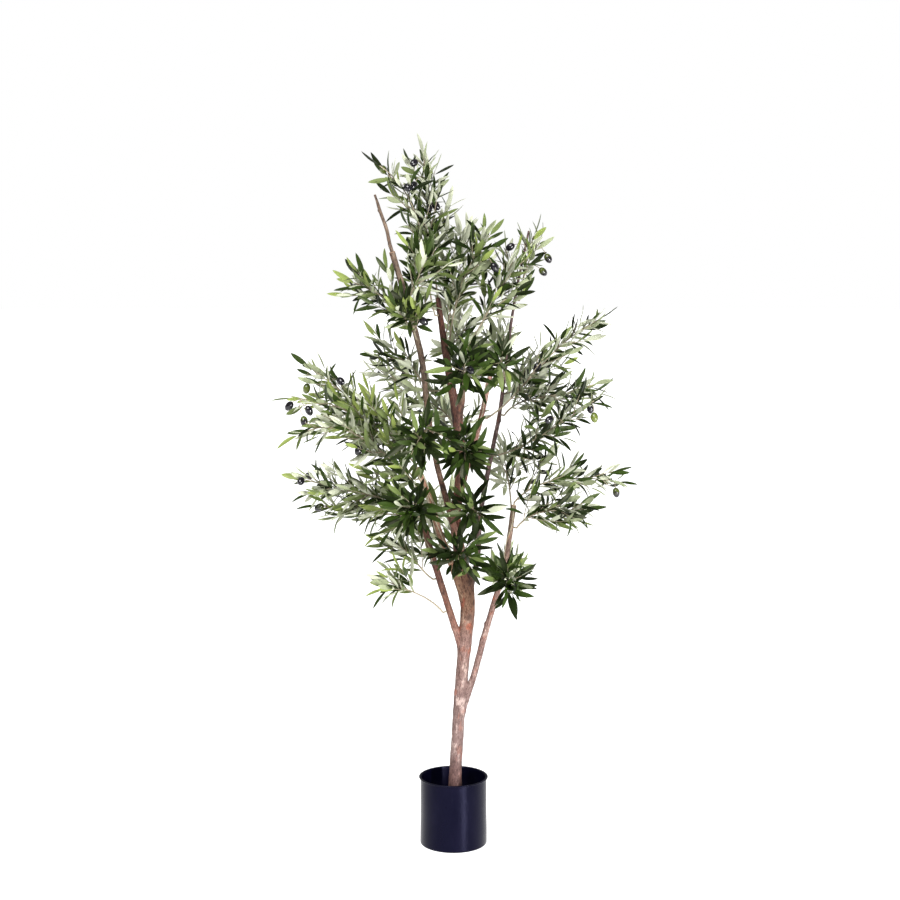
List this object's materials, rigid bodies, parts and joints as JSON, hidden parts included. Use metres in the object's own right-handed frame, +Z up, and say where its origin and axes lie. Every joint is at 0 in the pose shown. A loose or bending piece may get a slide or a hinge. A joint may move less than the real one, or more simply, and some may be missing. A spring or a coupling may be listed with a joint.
{
  "type": "artificial olive tree in a pot",
  "caption": "Artificial olive tree: a crooked wooden trunk with slender boughs and wire-stemmed sprays of narrow leaves and olives, in a dark round pot.",
  "frame": {"origin": "centre of the pot's flat underside, on the surface that the pot stands on", "axes": "+Z up, -Y toward the viewer of the picture, +X to the viewer's right"},
  "size_m": [0.9073, 0.7033, 1.8001],
  "materials": {
    "pot": "satin",
    "fill": "matte",
    "pale bark": "matte",
    "red bark": "matte",
    "dark bark": "matte",
    "foliage": "satin"
  },
  "bodies": {
    "root": {"back_left_high_spray": "foliage", "back_left_low_spray": "foliage", "back_left_spray": "foliage", "back_low_spray": "foliage", "back_middle_spray": "foliage", "back_right_bough": "red bark", "back_right_high_spray": "foliage", "back_right_low_spray": "foliage", "back_right_spray": "foliage", "back_side_spray": "foliage", "back_upper_spray": "foliage", "behind_leader_spray": "foliage", "centre_front_spray": "foliage", "drooping_left_spray": "foliage", "fill": "fill", "front_centre_spray": "foliage", "front_crown_spray": "foliage", "front_left_spray": "foliage", "front_right_spray": "foliage", "high_left_spray": "foliage", "high_right_spray": "foliage", "inner_left_spray": "foliage", "leader_spray": "foliage", "left_crown_spray": "foliage", "left_spray": "foliage", "level_left_spray": "foliage", "long_left_spray": "foliage", "long_right_spray": "foliage", "low_centre_spray": "foliage", "low_front_spray": "foliage", "low_left_bough": "red bark", "low_left_spray": "foliage", "low_right_bough": "pale bark", "low_right_spray": "foliage", "lower_left_spray": "foliage", "lowest_left_spray": "foliage", "mid_left_bough": "red bark", "middle_front_spray": "foliage", "middle_left_spray": "foliage", "pot": "pot", "right_crown_spray": "foliage", "right_front_spray": "foliage", "right_spray": "foliage", "short_stub": "pale bark", "tall_front_spray": "foliage", "tall_left_bough": "red bark", "tall_left_tip": "red bark", "tall_right_bough": "dark bark", "trunk": "pale bark", "upper_left_spray": "foliage", "upper_right_spray": "foliage"}
  },
  "joints": []
}
